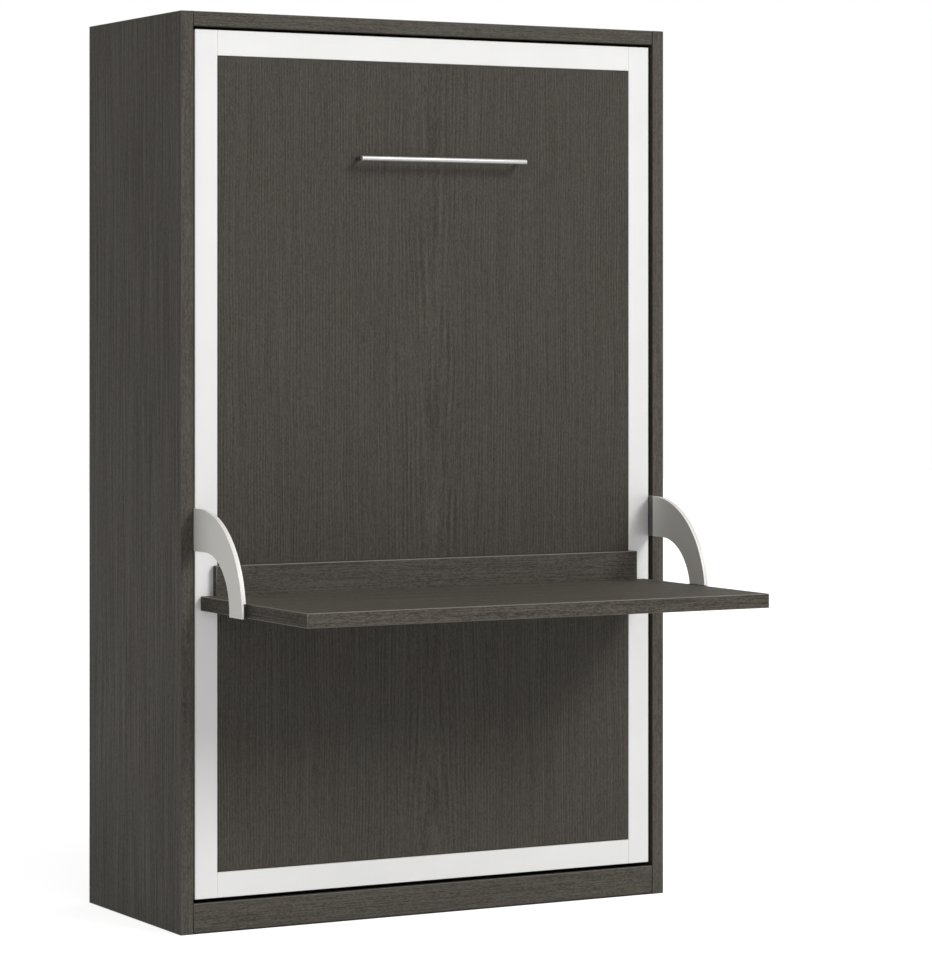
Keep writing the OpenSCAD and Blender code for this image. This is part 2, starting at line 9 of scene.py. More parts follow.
import bmesh
import bpy
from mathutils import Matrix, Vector

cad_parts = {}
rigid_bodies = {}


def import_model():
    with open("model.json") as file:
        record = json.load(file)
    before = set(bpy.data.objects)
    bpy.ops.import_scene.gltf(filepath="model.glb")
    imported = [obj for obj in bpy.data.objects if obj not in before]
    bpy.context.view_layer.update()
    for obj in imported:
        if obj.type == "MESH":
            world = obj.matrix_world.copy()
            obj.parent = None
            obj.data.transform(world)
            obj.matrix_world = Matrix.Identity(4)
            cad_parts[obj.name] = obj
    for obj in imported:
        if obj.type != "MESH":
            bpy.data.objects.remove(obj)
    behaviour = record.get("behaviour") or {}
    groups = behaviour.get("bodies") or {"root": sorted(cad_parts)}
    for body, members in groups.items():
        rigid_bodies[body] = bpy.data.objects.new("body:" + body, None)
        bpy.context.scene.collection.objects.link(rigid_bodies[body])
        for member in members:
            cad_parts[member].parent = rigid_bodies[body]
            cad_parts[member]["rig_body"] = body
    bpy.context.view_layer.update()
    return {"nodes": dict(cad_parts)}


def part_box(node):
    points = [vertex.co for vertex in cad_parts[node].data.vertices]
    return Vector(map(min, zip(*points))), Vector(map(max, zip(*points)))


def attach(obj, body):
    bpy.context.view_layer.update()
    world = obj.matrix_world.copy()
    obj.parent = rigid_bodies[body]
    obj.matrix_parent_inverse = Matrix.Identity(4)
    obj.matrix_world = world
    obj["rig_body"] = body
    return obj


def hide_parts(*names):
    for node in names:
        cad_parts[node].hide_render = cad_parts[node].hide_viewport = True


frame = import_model()
nodes = frame["nodes"]
scene = bpy.context.scene

X, Y, Z = 0, 1, 2


# ---------- shader nodes ----------

class Graph:
    """Adds nodes to one tree. Most methods take plain values or sockets and return a socket."""

    def __init__(self, tree):
        self.tree = tree
        tree.nodes.clear()

    def add(self, kind):
        return self.tree.nodes.new(kind)

    def feed(self, socket, value):
        if isinstance(value, bpy.types.NodeSocket):
            self.tree.links.new(value, socket)
        elif isinstance(value, (tuple, list)) and socket.type == "RGBA" and len(value) == 3:
            socket.default_value = (*value, 1)
        else:
            socket.default_value = value

    def feed_all(self, node, values):
        for socket, value in zip(node.inputs, values):
            self.feed(socket, value)

    def math(self, operation, *values, clamp=False):
        node = self.add("ShaderNodeMath")
        node.operation = operation
        node.use_clamp = clamp
        self.feed_all(node, values)
        return node.outputs[0]

    def total(self, *parts):
        """The sum of values, each given with its weight."""
        result = 0.0
        for value, weight in parts:
            result = self.math("MULTIPLY_ADD", value, weight, result)
        return result

    def vector(self, operation, *values):
        node = self.add("ShaderNodeVectorMath")
        node.operation = operation
        self.feed_all(node, values)
        return node.outputs[0]

    def split(self, vector):
        node = self.add("ShaderNodeSeparateXYZ")
        self.feed(node.inputs[0], vector)
        return node.outputs

    def joined(self, parts):
        """A vector from its parts, each given by its axis. A missing part is zero."""
        node = self.add("ShaderNodeCombineXYZ")
        for axis, value in parts.items():
            self.feed(node.inputs[axis], value)
        return node.outputs[0]

    def noise(self, vector, scale=1.0, detail=2.0):
        node = self.add("ShaderNodeTexNoise")
        self.feed(node.inputs["Vector"], vector)
        node.inputs["Scale"].default_value = scale
        node.inputs["Detail"].default_value = detail
        return node.outputs["Fac"]

    def spread(self, value, low, high, to_low=0.0, to_high=1.0):
        """A value's range from low to high, stretched to a new range and held within it."""
        node = self.add("ShaderNodeMapRange")
        for name, part in zip(("Value", "From Min", "From Max", "To Min", "To Max"),
                              (value, low, high, to_low, to_high)):
            self.feed(node.inputs[name], part)
        return node.outputs[0]

    def mix(self, kind, first, result, factor, a, b):
        """A mix of two values. The first value's input and the result depend on their kind."""
        node = self.add("ShaderNodeMix")
        node.data_type = kind
        self.feed(node.inputs[0], factor)
        self.feed(node.inputs[first], a)
        self.feed(node.inputs[first + 1], b)
        return node.outputs[result]

    def colours(self, factor, a, b):
        return self.mix("RGBA", 6, 2, factor, a, b)

    def vectors(self, factor, a, b):
        return self.mix("VECTOR", 4, 1, factor, a, b)

    def shaders(self, factor, a, b):
        node = self.add("ShaderNodeMixShader")
        self.feed_all(node, (factor, a, b))
        return node.outputs[0]


class Shader(Graph):
    """One material: a Principled shader and the nodes that feed it."""

    def __init__(self, name, **sockets):
        self.material = bpy.data.materials.new(name)
        self.material.use_nodes = True
        super().__init__(self.material.node_tree)
        self.shader = self.add("ShaderNodeBsdfPrincipled")
        self.feed(self.add("ShaderNodeOutputMaterial").inputs["Surface"], self.shader.outputs["BSDF"])
        coordinates = self.add("ShaderNodeTexCoord")
        self.point = coordinates.outputs["Object"]
        self.normal = coordinates.outputs["Normal"]
        for socket, value in sockets.items():
            self.set(socket.replace("_", " "), value)

    def set(self, socket, value):
        self.feed(self.shader.inputs[socket], value)

    def bump(self, height, strength, depth):
        node = self.add("ShaderNodeBump")
        node.inputs["Strength"].default_value = strength
        node.inputs["Distance"].default_value = depth
        self.feed(node.inputs["Height"], height)
        self.set("Normal", node.outputs[0])


# ---------- camera, stage and light ----------

# The photo's camera, found from the straight edges in the photo
CAMERA_PLACE = (-4.1615, -7.8048, 1.4444)
CAMERA_YAW = 28.62
FOCAL_PIXELS = 3654.88
IMAGE_HEIGHT = 955
HORIZON_PIXELS = 316.82
SENSOR = 36.0

AMBIENT = 0.28
FLOOR_SIZE = 40
FLOOR_COLOUR = (0.9, 0.9, 0.9)
FLOOR_GLOW = 0.75
# The floor lies this far under the feet
FLOOR_DROP = 0.0005
# Axis, middle and half size of the floor under the cabinet
UNDER_CABINET = ((X, 0.0, 0.655), (Y, 0.275, 0.27))


def make_camera():
    data = bpy.data.cameras.new("photo_camera")
    data.sensor_fit = "VERTICAL"
    data.sensor_height = SENSOR
    data.lens = FOCAL_PIXELS * SENSOR / IMAGE_HEIGHT
    data.shift_y = (HORIZON_PIXELS - IMAGE_HEIGHT / 2) / IMAGE_HEIGHT
    data.clip_end = 60.0
    camera = bpy.data.objects.new("photo_camera", data)
    camera.location = CAMERA_PLACE
    camera.rotation_euler = (math.radians(90), 0, math.radians(-CAMERA_YAW))
    scene.collection.objects.link(camera)
    scene.camera = camera


def area_light(name, place, target, size, power):
    data = bpy.data.lights.new(name, "AREA")
    data.shape = "RECTANGLE"
    data.size, data.size_y = size
    data.energy = power
    light = bpy.data.objects.new(name, data)
    light.location = place
    light.rotation_euler = (Vector(target) - Vector(place)).to_track_quat("-Z", "Y").to_euler()
    scene.collection.objects.link(light)


def make_lights():
    area_light("key", (24.0, -42.0, 33.0), (0.0, 0.0, 0.8), (19.8, 19.8), 18700)
    area_light("front", (5.0, -13.0, 0.9), (0.0, 0.0, 0.5), (7.0, 1.6), 175)
    area_light("fill", (-5.2, -8.0, 3.6), (0.0, 0.0, 1.0), (4.0, 4.0), 70)
    area_light("overhead", (0.0, -4.0, 9.5), (0.0, -0.3, 0.8), (5.0, 4.0), 80)


def seen_directly(g):
    """1 for rays that the camera, a gloss or a glass sends straight to a surface, 0 for diffuse light."""
    path = g.add("ShaderNodeLightPath")
    total = path.outputs["Is Camera Ray"]
    for name in ("Is Glossy Ray", "Is Transmission Ray"):
        total = g.math("MAXIMUM", total, path.outputs[name])
    return total


def background(g, strength):
    node = g.add("ShaderNodeBackground")
    node.inputs["Color"].default_value = (1, 1, 1, 1)
    node.inputs["Strength"].default_value = strength
    return node.outputs[0]


def make_world():
    """Dim light from all round, which looks pure white where it is seen directly."""
    world = bpy.data.worlds.new("studio")
    world.use_nodes = True
    g = Graph(world.node_tree)
    light = g.shaders(seen_directly(g), background(g, AMBIENT), background(g, 1.0))
    g.feed(g.add("ShaderNodeOutputWorld").inputs["Surface"], light)
    scene.world = world


def floor_glow(g):
    """The floor's glow, which stops under the cabinet so that its inside stays dark."""
    place = g.split(g.add("ShaderNodeTexCoord").outputs["Object"])
    beyond = []
    for axis, middle, half in UNDER_CABINET:
        away = g.math("ABSOLUTE", g.math("SUBTRACT", place[axis], middle))
        beyond.append(g.math("GREATER_THAN", away, half))
    return g.math("MULTIPLY", g.math("MAXIMUM", *beyond), FLOOR_GLOW)


def floor_material():
    material = bpy.data.materials.new("studio_floor")
    material.use_nodes = True
    g = Graph(material.node_tree)
    diffuse = g.add("ShaderNodeBsdfDiffuse")
    g.feed(diffuse.inputs["Color"], FLOOR_COLOUR)
    glow = g.add("ShaderNodeEmission")
    g.feed(glow.inputs["Strength"], floor_glow(g))
    lit = g.add("ShaderNodeAddShader")
    g.feed_all(lit, (diffuse.outputs[0], glow.outputs[0]))
    seen = g.shaders(seen_directly(g), diffuse.outputs[0], lit.outputs[0])
    g.feed(g.add("ShaderNodeOutputMaterial").inputs["Surface"], seen)
    return material


def make_floor():
    bpy.ops.mesh.primitive_plane_add(size=FLOOR_SIZE, location=(0, 0, -FLOOR_DROP))
    floor = bpy.context.object
    floor.name = "studio_floor"
    floor.data.materials.append(floor_material())


# ---------- wood ----------

WOOD_DARK = (0.035, 0.0313, 0.0256)
WOOD_LIGHT = (0.088, 0.0805, 0.0688)
# A face is square to an axis where that part of its normal is over this
SQUARE = 0.75
# How much calmer the grain is on a board's edge
EDGE_CALM = 0.2
# Colour gains inside the warmer patches of a board
WARM_PATCH = (1.016, 0.994, 0.99)
LINE_PITCH = 0.0075
# Width of the grain's slow sway, and of the ripple on it
SWAY = 0.02
RIPPLE = 0.014
# Colour gain of the painted shade where a rounded edge faces a seam, and the least part of its normal
# towards it
SEAM_SHADE = 0.12
SEAM_FACING = 0.3


def along_axis(axis, along, across):
    scale = [across, across, across]
    scale[axis] = along
    return tuple(scale)


def tinted(colour, gains):
    return tuple(c * gain for c, gain in zip(colour, gains))


def scaled(colour, gain, lift=0.0):
    """A colour times a gain and a little lifted, no lighter than white."""
    return tuple(min(1.0, c * gain + lift) for c in colour)


def distance_from_heart(s, grain, width, heart, swing):
    """Distance from the log's heart line, which makes straight lines far from it and arches
    beside it. Returns the point with this distance in place of its coordinate across the
    board's wide face, and the distance. The coordinate through the board tells the two sides
    of the heart apart."""
    axes = s.split(s.point)
    along = s.joined({grain: s.math("MULTIPLY", axes[grain], 0.62)})
    sway = s.math("SUBTRACT", s.noise(along, detail=1.0), 0.5)
    ripple = s.noise(s.vector("MULTIPLY", s.point, along_axis(grain, 3.5, 11.0)), detail=1.0)
    sway = s.total((sway, SWAY), (s.math("SUBTRACT", ripple, 0.5), RIPPLE))
    depth = s.math("ADD", s.noise(s.vector("ADD", along, (7.3, 7.3, 7.3)), detail=0.0), 0.3)
    depth = s.math("MULTIPLY", depth, swing)
    side = s.math("ADD", s.math("SUBTRACT", axes[width], heart), sway)
    far = s.math("SQRT", s.math("ADD", s.math("MULTIPLY", side, side), s.math("MULTIPLY", depth, depth)))
    thickness = 3 - grain - width
    uneven = s.math("MULTIPLY_ADD", side, 0.7, axes[thickness])
    return s.joined({grain: axes[grain], width: far, thickness: uneven}), far


def even_lines(s, far, grain, pitch):
    """Lines at a nearly even pitch that drift and fade, as in a brushed and printed grain. 0 to 1."""
    drift = s.noise(s.vector("MULTIPLY", s.point, along_axis(grain, 1.6, 12.0)), detail=1.0)
    phase = s.math("ADD", s.math("MULTIPLY", far, 2 * math.pi / pitch), s.math("MULTIPLY", drift, 9.0))
    fade = s.noise(s.vector("MULTIPLY", s.point, along_axis(grain, 9.0, 45.0)), detail=1.0)
    wave = s.math("MULTIPLY", s.math("SINE", phase), s.spread(fade, 0.36, 0.64, 0.15, 1.0))
    return s.math("MULTIPLY_ADD", wave, 0.5, 0.5)


def growth_rings(s, streaks, far):
    """Thin marks along the grain that come and go, clearest beside the heart. 0 to 1."""
    ring = s.math("ABSOLUTE", s.math("SUBTRACT", streaks(0.8, 75.0, 0.0), 0.5))
    shown = s.spread(streaks(2.6, 40.0, 1.0), 0.50, 0.64)
    ring = s.math("MULTIPLY", s.spread(ring, 0.0, 0.035, 1.0, 0.0), shown)
    return s.math("MULTIPLY", ring, s.spread(far, 0.05, 0.14, 1.0, 0.55))


def lined_tone(s, tone, even, on_end, share):
    """A tone of which the even lines make up a share, except on the board's end faces."""
    even = s.math("MULTIPLY", even, share)
    even = s.math("MULTIPLY_ADD", on_end, s.math("SUBTRACT", 0.5 * share, even), even)
    return s.math("MULTIPLY_ADD", tone, 1.0 - share, even)


def edge_tone_and_painted_light(s, tone, shades, on_edge, gains):
    """The colour of a tone, with a calmer grain and its own gains on the faces square to the edge axis:
    an edge band's tone, and painted light on the desk's top, which also lightens its underside.
    """
    calmer = s.math("MULTIPLY_ADD", on_edge, -EDGE_CALM, 1.0)
    tone = s.math("MULTIPLY_ADD", s.math("SUBTRACT", tone, 0.5), calmer, 0.5)
    return s.vector("MULTIPLY", s.colours(tone, *shades), s.vectors(on_edge, (1, 1, 1), gains))


def wood(name, grain, width, dark, light, seed, heart=1.4, swing=0.0, length=1.0, rough=(0.42, 0.58),
         pores=0.3, rings=0.3, lined=0.0, coarse=1.0, edge=None, edge_gain=(1, 1, 1)):
    """A printed or real wood surface. The grain runs along one axis, and on the board's end
    faces across its width, as an edge band's does. Faces square to the edge axis have a calmer
    grain, and their colour takes the edge gain."""
    s = Shader(name, Specular_IOR_Level=0.09)
    normal = s.split(s.vector("ABSOLUTE", s.normal))
    on_end = s.math("GREATER_THAN", normal[grain], SQUARE)
    shift = (seed * 1.37, seed * 2.11, seed * 0.73)
    rounds, far = distance_from_heart(s, grain, width, heart, swing)
    flow = s.vector("ADD", rounds, shift)
    place = s.vector("ADD", s.point, shift)

    def streaks(along, across, detail):
        board = s.vector("MULTIPLY", flow, along_axis(grain, along / length, across / coarse))
        end = s.vector("MULTIPLY", place, along_axis(width, along / length, across / coarse))
        return s.noise(s.vectors(on_end, board, end), detail=detail)

    lines = streaks(3.2, 320.0, 0.0)
    threads = streaks(50.0, 350.0, 0.0)
    fibres = streaks(150.0, 430.0, 1.0)
    bands = streaks(1.2, 90.0, 1.0)
    ring = growth_rings(s, streaks, far)
    dashes = s.spread(streaks(30.0, 900.0, 1.0), 0.60, 0.70)
    tone = s.spread(s.total((lines, 0.23), (threads, 0.22), (fibres, 0.52), (bands, 0.03)), 0.37, 0.63)
    if lined:
        tone = lined_tone(s, tone, even_lines(s, far, grain, LINE_PITCH * coarse), on_end, lined)
    for marks, depth in ((dashes, pores), (ring, rings)):
        tone = s.math("SUBTRACT", tone, s.math("MULTIPLY", marks, depth), clamp=True)
    patch = s.spread(s.noise(s.point, scale=6.0), 0.42, 0.66)
    shades = [s.colours(patch, shade, tinted(shade, WARM_PATCH)) for shade in (dark, light)]
    if edge is None:
        colour = s.colours(tone, *shades)
    else:
        on_edge = s.math("GREATER_THAN", normal[edge], SQUARE)
        colour = edge_tone_and_painted_light(s, tone, shades, on_edge, edge_gain)
    s.set("Base Color", colour)
    s.set("Roughness", s.spread(lines, 0.3, 0.7, rough[1], rough[0]))
    s.bump(s.total((fibres, 0.6), (lines, 1.0), (dashes, -1.0), (ring, -1.0)), 0.4, 0.0003)
    return s.material


def rounded_edge(name, seams=(), gloss=0.3, rough=(0.32, 0.5)):
    """The rounded edges of the dark boards, with a painted highlight that is lightest where they face up,
    and painted shade where they face a seam. Each seam is an axis and the sign of its direction from the
    board."""
    s = Shader(name, Specular_IOR_Level=gloss)
    facing = s.split(s.normal)
    # Painted highlight: the edge is lighter the more it faces up
    gain = s.spread(facing[Z], 0.05, 0.75, 1.15, 3.2)
    # Painted shade where the edge faces one of the seams
    for axis, sign in seams:
        towards = s.math("GREATER_THAN", s.math("MULTIPLY", facing[axis], sign), SEAM_FACING)
        gain = s.math("MULTIPLY", gain, s.math("MULTIPLY_ADD", towards, SEAM_SHADE - 1.0, 1.0))
    wear = s.noise(s.point, scale=60.0, detail=3.0)
    base = s.colours(wear, WOOD_DARK, WOOD_LIGHT)
    s.set("Base Color", s.vector("MULTIPLY", base, s.joined({X: gain, Y: gain, Z: gain})))
    s.set("Roughness", s.spread(wear, 0.3, 0.7, *rough))
    s.bump(wear, 0.2, 0.0001)
    return s.material


# ---------- coats, metals, plastics and cloth ----------

# The painted shade on the arms' inner faces at their roots, in the gap beside the bed: its front
# end along Y, its colour, and the least part of the normal along X on the arm's inner face
ROOT_SHADE_FROM = -0.0205
ROOT_SHADE_COLOUR = (0.12, 0.117, 0.112)
ROOT_SHADE_FACING = 0.7


def arm_root_painted_shade(s, inward):
    """1 on the inner face of an arm's root, in the gap beside the bed, where a dark colour paints its
    shade. 0 elsewhere.
    """
    facing = s.math("MULTIPLY", s.split(s.normal)[X], inward)
    at_root = s.math("GREATER_THAN", s.split(s.point)[Y], ROOT_SHADE_FROM)
    return s.math("MULTIPLY", s.math("GREATER_THAN", facing, ROOT_SHADE_FACING), at_root)


def lacquer(name, colour, rough=(0.36, 0.44), inward=None):
    """A sprayed or laminated plain surface, with a faint orange peel. An inward direction
    along X adds painted shade on the inner face of an arm's root."""
    s = Shader(name, Specular_IOR_Level=0.4)
    cloud = s.noise(s.point, scale=5.0, detail=3.0)
    peel = s.noise(s.point, scale=420.0, detail=1.0)
    base = s.colours(s.spread(cloud, 0.35, 0.65), scaled(colour, 0.965), colour)
    if inward:
        # Painted shade: a dark colour on the inner face of the arm's root
        base = s.colours(arm_root_painted_shade(s, inward), base, ROOT_SHADE_COLOUR)
    s.set("Base Color", base)
    s.set("Roughness", s.spread(cloud, 0.3, 0.7, *rough))
    s.bump(peel, 0.3, 0.00006)
    return s.material


def powder_coat(name, colour):
    """Textured powder coat on steel."""
    s = Shader(name, Specular_IOR_Level=0.45)
    grit = s.noise(s.point, scale=900.0)
    wear = s.noise(s.point, scale=14.0, detail=4.0)
    s.set("Base Color", s.colours(s.spread(wear, 0.35, 0.7), colour, scaled(colour, 1.35, 0.004)))
    s.set("Roughness", s.spread(grit, 0.3, 0.7, 0.42, 0.6))
    s.bump(grit, 0.4, 0.00012)
    return s.material


def brushed(name, colour, axis, rough=(0.2, 0.34), metallic=1.0):
    """Metal brushed along an axis. An anodised skin is less metallic than bare metal."""
    s = Shader(name, Metallic=metallic)
    scratch = s.noise(s.vector("MULTIPLY", s.point, along_axis(axis, 6.0, 2600.0)), detail=3.0)
    cloud = s.noise(s.point, scale=30.0)
    s.set("Base Color", s.colours(s.spread(scratch, 0.3, 0.7), scaled(colour, 0.86), colour))
    s.set("Roughness", s.spread(cloud, 0.3, 0.7, *rough))
    s.bump(scratch, 0.25, 0.00003)
    return s.material


def zinc(name):
    """Bright zinc plating with its faint mottling."""
    s = Shader(name, Metallic=1.0)
    cloud = s.noise(s.point, scale=120.0, detail=4.0)
    s.set("Base Color", s.colours(s.spread(cloud, 0.35, 0.65), (0.50, 0.51, 0.53), (0.66, 0.67, 0.68)))
    s.set("Roughness", s.spread(cloud, 0.3, 0.7, 0.28, 0.44))
    s.bump(cloud, 0.2, 0.00005)
    return s.material


def chrome(name):
    """Hard chrome with a slight haze."""
    s = Shader(name, Metallic=1.0)
    haze = s.noise(s.point, scale=60.0, detail=3.0)
    s.set("Base Color", s.colours(haze, (0.74, 0.75, 0.78), (0.82, 0.82, 0.84)))
    s.set("Roughness", s.spread(haze, 0.3, 0.7, 0.05, 0.14))
    return s.material


def moulded(name, colour, rough=(0.45, 0.62)):
    """Moulded plastic or rubber with a fine spark-eroded grain."""
    s = Shader(name, Specular_IOR_Level=0.4)
    grit = s.noise(s.point, scale=700.0)
    dust = s.noise(s.point, scale=22.0, detail=4.0)
    s.set("Base Color", s.colours(s.spread(dust, 0.4, 0.75), colour, scaled(colour, 1.25, 0.006)))
    s.set("Roughness", s.spread(grit, 0.3, 0.7, *rough))
    s.bump(grit, 0.35, 0.0001)
    return s.material


def woven(s, axes, pitch):
    """Height of a plain weave of threads along two axes."""
    place = s.split(s.point)
    waves = [s.math("SINE", s.math("MULTIPLY", place[axis], 2 * math.pi / pitch)) for axis in axes]
    return s.math("MULTIPLY", *waves)


def ticking(name):
    """Knitted mattress ticking: fine loops with a soft tone-on-tone hatch."""
    s = Shader(name, Specular_IOR_Level=0.2, Sheen_Weight=0.35, Sheen_Roughness=0.5)
    knit = woven(s, (X, Z), 0.0022)
    place = s.split(s.point)
    diagonal = s.math("SINE", s.math("MULTIPLY", s.math("ADD", place[X], place[Z]), 520.0))
    cloud = s.noise(s.point, scale=9.0, detail=3.0)
    lint = s.noise(s.point, scale=1400.0)
    tone = s.total((knit, 0.25), (diagonal, 0.12), (cloud, 1.0))
    s.set("Base Color", s.colours(s.spread(tone, 0.1, 0.9), (0.74, 0.73, 0.685), (0.87, 0.86, 0.83)))
    s.set("Roughness", s.spread(lint, 0.3, 0.7, 0.82, 0.95))
    s.bump(s.total((knit, 1.0), (lint, 0.6)), 0.5, 0.0003)
    return s.material


def webbing(name, colour):
    """Woven strap with its ribs across the run."""
    s = Shader(name, Specular_IOR_Level=0.25, Sheen_Weight=0.2)
    weave = woven(s, (X, Z), 0.0031)
    lint = s.noise(s.point, scale=900.0, detail=3.0)
    tone = s.total((weave, 0.5), (lint, 1.0))
    s.set("Base Color", s.colours(s.spread(tone, 0.1, 1.0), colour, scaled(colour, 2.1, 0.02)))
    s.set("Roughness", s.spread(lint, 0.3, 0.7, 0.7, 0.9))
    s.bump(weave, 0.7, 0.0005)
    return s.material


# ---------- materials of the object ----------

# Gains of the side panels' wood: a browner tone, and darker as painted shade on the panels' sides. Their
# edge gains make the front edges lighter again.
SIDE_TONE_AND_SHADE = (0.842, 0.798, 0.718)
# Gains that lighten the desk's wood: painted light for the light that falls on its top
DESK_PAINTED_LIGHT = (1.23, 1.22, 1.2)
ARM_WHITE = (0.82, 0.794, 0.753)
# A lighter white on the arms' cheeks than on their plates: painted light on the cheeks
CHEEK_PAINTED_LIGHT_WHITE = (0.88, 0.854, 0.812)
# The seams of a board, each as an axis and a sign, towards which its rounded edges get painted shade
BOTH_ENDS = ((X, 1), (X, -1))
ALL_ROUND = (*BOTH_ENDS, (Z, 1), (Z, -1))


def side_wood(name, seed, edge_gain):
    return wood(name, Z, Y, tinted(WOOD_DARK, SIDE_TONE_AND_SHADE), tinted(WOOD_LIGHT, SIDE_TONE_AND_SHADE), seed,
                length=1.1, rings=0.15, lined=0.15, coarse=1.5, edge=Y, edge_gain=edge_gain)


upright_wood = side_wood("dark_wood_upright", 1, (1.46, 1.52, 1.69))
# The right panel's copy has higher edge gains: painted light on its front edge
upright_wood_right = side_wood("dark_wood_upright_right", 9, (1.53, 1.60, 1.77))
face_wood = wood("dark_wood_face", Z, X, WOOD_DARK, WOOD_LIGHT, 4,
                 heart=0.01, swing=0.10, rings=0.22, lined=0.40)
level_wood = wood("dark_wood_level", X, Y, WOOD_DARK, WOOD_LIGHT, 2,
                  length=1.2, edge=Y, edge_gain=(1.24, 1.24, 1.24))
# The desk's top and underside are its edge faces here, and their edge gain adds more painted light on the
# top
desk_wood = wood("dark_wood_desk", X, Y, tinted(WOOD_DARK, DESK_PAINTED_LIGHT), tinted(WOOD_LIGHT, DESK_PAINTED_LIGHT), 6,
                 length=1.2, rough=(0.6, 0.75), edge=Z, edge_gain=(1.12, 1.12, 1.12))
block_wood = wood("dark_wood_block", Y, Z, WOOD_DARK, WOOD_LIGHT, 3, length=1.2)
edge_wood = rounded_edge("dark_wood_rounded_edge")
seam_wood = rounded_edge("dark_wood_seam_edge", BOTH_ENDS, gloss=0.1, rough=(0.75, 0.9))
rim_wood = rounded_edge("dark_wood_rim_edge", ALL_ROUND, gloss=0.0, rough=(0.8, 0.9))
left_edge_wood = rounded_edge("dark_wood_left_edge", BOTH_ENDS[:1], gloss=0.15)
right_edge_wood = rounded_edge("dark_wood_right_edge", BOTH_ENDS[1:], gloss=0.15)
back_wood = wood("dark_back_board", Z, X, (0.05, 0.046, 0.04), (0.075, 0.07, 0.062), 5,
                 rough=(0.6, 0.75), pores=0.15, rings=0.15)
slat_wood = wood("birch_slats", X, Z, (0.47, 0.325, 0.175), (0.69, 0.535, 0.34), 7,
                 rough=(0.38, 0.5), pores=0.2, rings=0.25)
batten_wood = wood("pine_battens", Z, X, (0.40, 0.25, 0.115), (0.60, 0.43, 0.235), 8,
                   rough=(0.5, 0.65), pores=0.2, rings=0.5)
white_lacquer = lacquer("white_lacquer", (0.835, 0.832, 0.816))
# The cheeks' white carries painted light
white_arm = lacquer("white_arm", CHEEK_PAINTED_LIGHT_WHITE, rough=(0.3, 0.4))
white_arm_left = lacquer("white_arm_left", ARM_WHITE, rough=(0.3, 0.4), inward=1)
white_arm_right = lacquer("white_arm_right", ARM_WHITE, rough=(0.3, 0.4), inward=-1)
dark_coat = powder_coat("dark_powder_coat", (0.03, 0.03, 0.031))
zinc_plate = zinc("zinc_plate")
satin_steel = brushed("satin_steel", (0.50, 0.497, 0.49), X, rough=(0.3, 0.42), metallic=0.45)
# Darker steel on the posts than on the bar: painted shade for the shadow the posts stand in
post_steel_painted_shade = brushed("post_steel_painted_shade", (0.30, 0.298, 0.295), Y)
hard_chrome = chrome("hard_chrome")
black_rubber = moulded("black_rubber", (0.018, 0.018, 0.019), rough=(0.65, 0.85))
holder_plastic = moulded("holder_plastic", (0.03, 0.03, 0.032))
bush_plastic = moulded("bush_plastic", (0.70, 0.69, 0.65), rough=(0.35, 0.5))
mattress_ticking = ticking("mattress_ticking")
piping_cloth = webbing("piping_cloth", (0.30, 0.30, 0.31))
strap_webbing = webbing("strap_webbing", (0.06, 0.064, 0.072))

NODE_MATERIALS = {
    upright_wood: ["side_panel_left"],
    upright_wood_right: ["side_panel_right"],
    face_wood: ["face_panel"],
    level_wood: ["top_panel", "plinth", "rear_top_rail", "rear_base_rail", "desk_upstand"],
    desk_wood: ["desk_top"],
    block_wood: ["desk_end_blocks"],
    back_wood: ["back_panel"],
    white_lacquer: ["face_stile_left", "face_stile_right", "face_rail_top", "face_rail_bottom",
                    "bed_rail_left", "bed_rail_right", "head_board", "foot_board"],
    white_arm: ["arm_cheek_left", "arm_cheek_right"],
    white_arm_left: ["arm_plate_left"],
    white_arm_right: ["arm_plate_right"],
    dark_coat: ["pivot_plate_left", "pivot_plate_right", "cross_bearers", "hinge_plate_left",
                "hinge_plate_right", "levelling_link_left", "levelling_link_right", "leg_left",
                "leg_right", "strut_cylinder_left", "strut_cylinder_right"],
    zinc_plate: ["corner_brackets", "bracket_screws", "plate_screws", "bed_axle_left",
                 "bed_axle_right", "link_studs", "strut_studs", "arm_studs", "leg_studs",
                 "desk_bolts", "link_pins"],
    satin_steel: ["handle_bar"],
    post_steel_painted_shade: ["handle_posts"],
    black_rubber: ["closing_stops", "leg_foot_left", "leg_foot_right"],
    bush_plastic: ["axle_bushes"],
    slat_wood: ["slats"],
    batten_wood: ["slat_battens"],
    mattress_ticking: ["mattress"],
    strap_webbing: ["mattress_straps"],
    holder_plastic: ["slat_holders"],
    hard_chrome: ["strut_rod_left", "strut_rod_right"],
}
material_of = {node: material for material, names in NODE_MATERIALS.items() for node in names}


def dress_nodes():
    for name, node in nodes.items():
        node.data.materials.clear()
        node.data.materials.append(material_of[name])


# ---------- pieces ----------

def finish_mesh(name, bm, material, body, smooth_below=35):
    """A piece of the object from a bmesh, smooth across its shallow edges."""
    mesh = bpy.data.meshes.new(name)
    bm.to_mesh(mesh)
    bm.free()
    mesh.polygons.foreach_set("use_smooth", [True] * len(mesh.polygons))
    mesh.set_sharp_from_angle(angle=math.radians(smooth_below))
    mesh.materials.append(material)
    piece = bpy.data.objects.new(name, mesh)
    scene.collection.objects.link(piece)
    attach(piece, body)
    return piece


def join_rings(bm, rings, closed=False):
    """Faces between rings of as many points each, and from the last to the first if closed."""
    pairs = list(zip(rings, rings[1:]))
    if closed:
        pairs.append((rings[-1], rings[0]))
    for a, b in pairs:
        count = len(a)
        for k in range(count):
            bm.faces.new([a[k], a[(k + 1) % count], b[(k + 1) % count], b[k]])


# ---------- rounded boards and plates ----------

